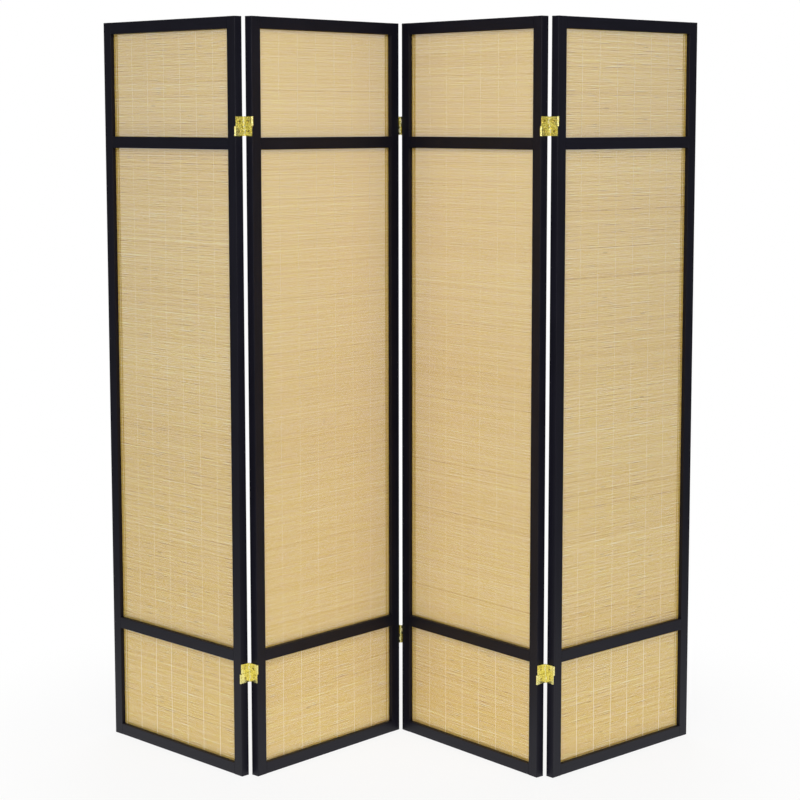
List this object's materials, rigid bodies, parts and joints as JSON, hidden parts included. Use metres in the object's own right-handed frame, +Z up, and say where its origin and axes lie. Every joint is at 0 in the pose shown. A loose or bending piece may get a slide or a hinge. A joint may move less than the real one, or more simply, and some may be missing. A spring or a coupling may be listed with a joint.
{
  "type": "folding screen",
  "caption": "Free-standing zigzag folding screen of black wooden frames with woven matchstick-bamboo mats, joined by double-acting brass hinges.",
  "frame": {"origin": "on the floor, in the middle of the box around the standing screen", "axes": "+Z up along the panels' height, the pictured front looks towards -Y, +X to its right"},
  "size_m": [1.4866, 0.4108, 1.829],
  "materials": {
    "black_lacquer": "satin black lacquer",
    "bamboo": "natural matchstick bamboo",
    "dowel_wood": "raw",
    "brass": "bright brass plate",
    "brass_screw": "bright brass plate",
    "steel": "plain"
  },
  "bodies": {
    "panel_1": {"panel_1_left_stile": "black_lacquer", "panel_1_right_stile": "black_lacquer", "panel_1_top_rail": "black_lacquer", "panel_1_upper_cross_rail": "black_lacquer", "panel_1_lower_cross_rail": "black_lacquer", "panel_1_bottom_rail": "black_lacquer", "panel_1_top_mat": "bamboo", "panel_1_middle_mat": "bamboo", "panel_1_bottom_mat": "bamboo", "fold_12_left_leaves": "brass", "fold_12_lower_links": "brass", "panel_1_dowels": "dowel_wood", "panel_1_hinge_pins": "steel", "panel_1_hinge_screws": "brass_screw"},
    "panel_2": {"panel_2_left_stile": "black_lacquer", "panel_2_right_stile": "black_lacquer", "panel_2_top_rail": "black_lacquer", "panel_2_upper_cross_rail": "black_lacquer", "panel_2_lower_cross_rail": "black_lacquer", "panel_2_bottom_rail": "black_lacquer", "panel_2_top_mat": "bamboo", "panel_2_middle_mat": "bamboo", "panel_2_bottom_mat": "bamboo", "fold_12_right_leaves": "brass", "fold_12_upper_links": "brass", "fold_23_left_leaves": "brass", "fold_23_upper_links": "brass", "panel_2_dowels": "dowel_wood", "panel_2_hinge_pins": "steel", "panel_2_hinge_screws": "brass_screw"},
    "panel_3": {"panel_3_left_stile": "black_lacquer", "panel_3_right_stile": "black_lacquer", "panel_3_top_rail": "black_lacquer", "panel_3_upper_cross_rail": "black_lacquer", "panel_3_lower_cross_rail": "black_lacquer", "panel_3_bottom_rail": "black_lacquer", "panel_3_top_mat": "bamboo", "panel_3_middle_mat": "bamboo", "panel_3_bottom_mat": "bamboo", "fold_23_right_leaves": "brass", "fold_23_lower_links": "brass", "fold_34_left_leaves": "brass", "fold_34_lower_links": "brass", "panel_3_dowels": "dowel_wood", "panel_3_hinge_pins": "steel", "panel_3_hinge_screws": "brass_screw"},
    "panel_4": {"panel_4_left_stile": "black_lacquer", "panel_4_right_stile": "black_lacquer", "panel_4_top_rail": "black_lacquer", "panel_4_upper_cross_rail": "black_lacquer", "panel_4_lower_cross_rail": "black_lacquer", "panel_4_bottom_rail": "black_lacquer", "panel_4_top_mat": "bamboo", "panel_4_middle_mat": "bamboo", "panel_4_bottom_mat": "bamboo", "fold_34_right_leaves": "brass", "fold_34_upper_links": "brass", "panel_4_dowels": "dowel_wood", "panel_4_hinge_pins": "steel", "panel_4_hinge_screws": "brass_screw"}
  },
  "joints": [
    {"name": "fold_12", "type": "hinge", "parent": "panel_2", "child": "panel_1", "pos_m": [-0.35867, -0.18305, 0], "axis": [0, 0, -1], "range_deg": [-92.7, 87.3]},
    {"name": "fold_23", "type": "hinge", "parent": "panel_2", "child": "panel_3", "pos_m": [0, 0.18476, 0], "axis": [0, 0, -1], "range_deg": [-97.6, 81.4]},
    {"name": "fold_34", "type": "hinge", "parent": "panel_3", "child": "panel_4", "pos_m": [0.35867, -0.18305, 0], "axis": [0, 0, 1], "range_deg": [-92.7, 87.3]}
  ]
}
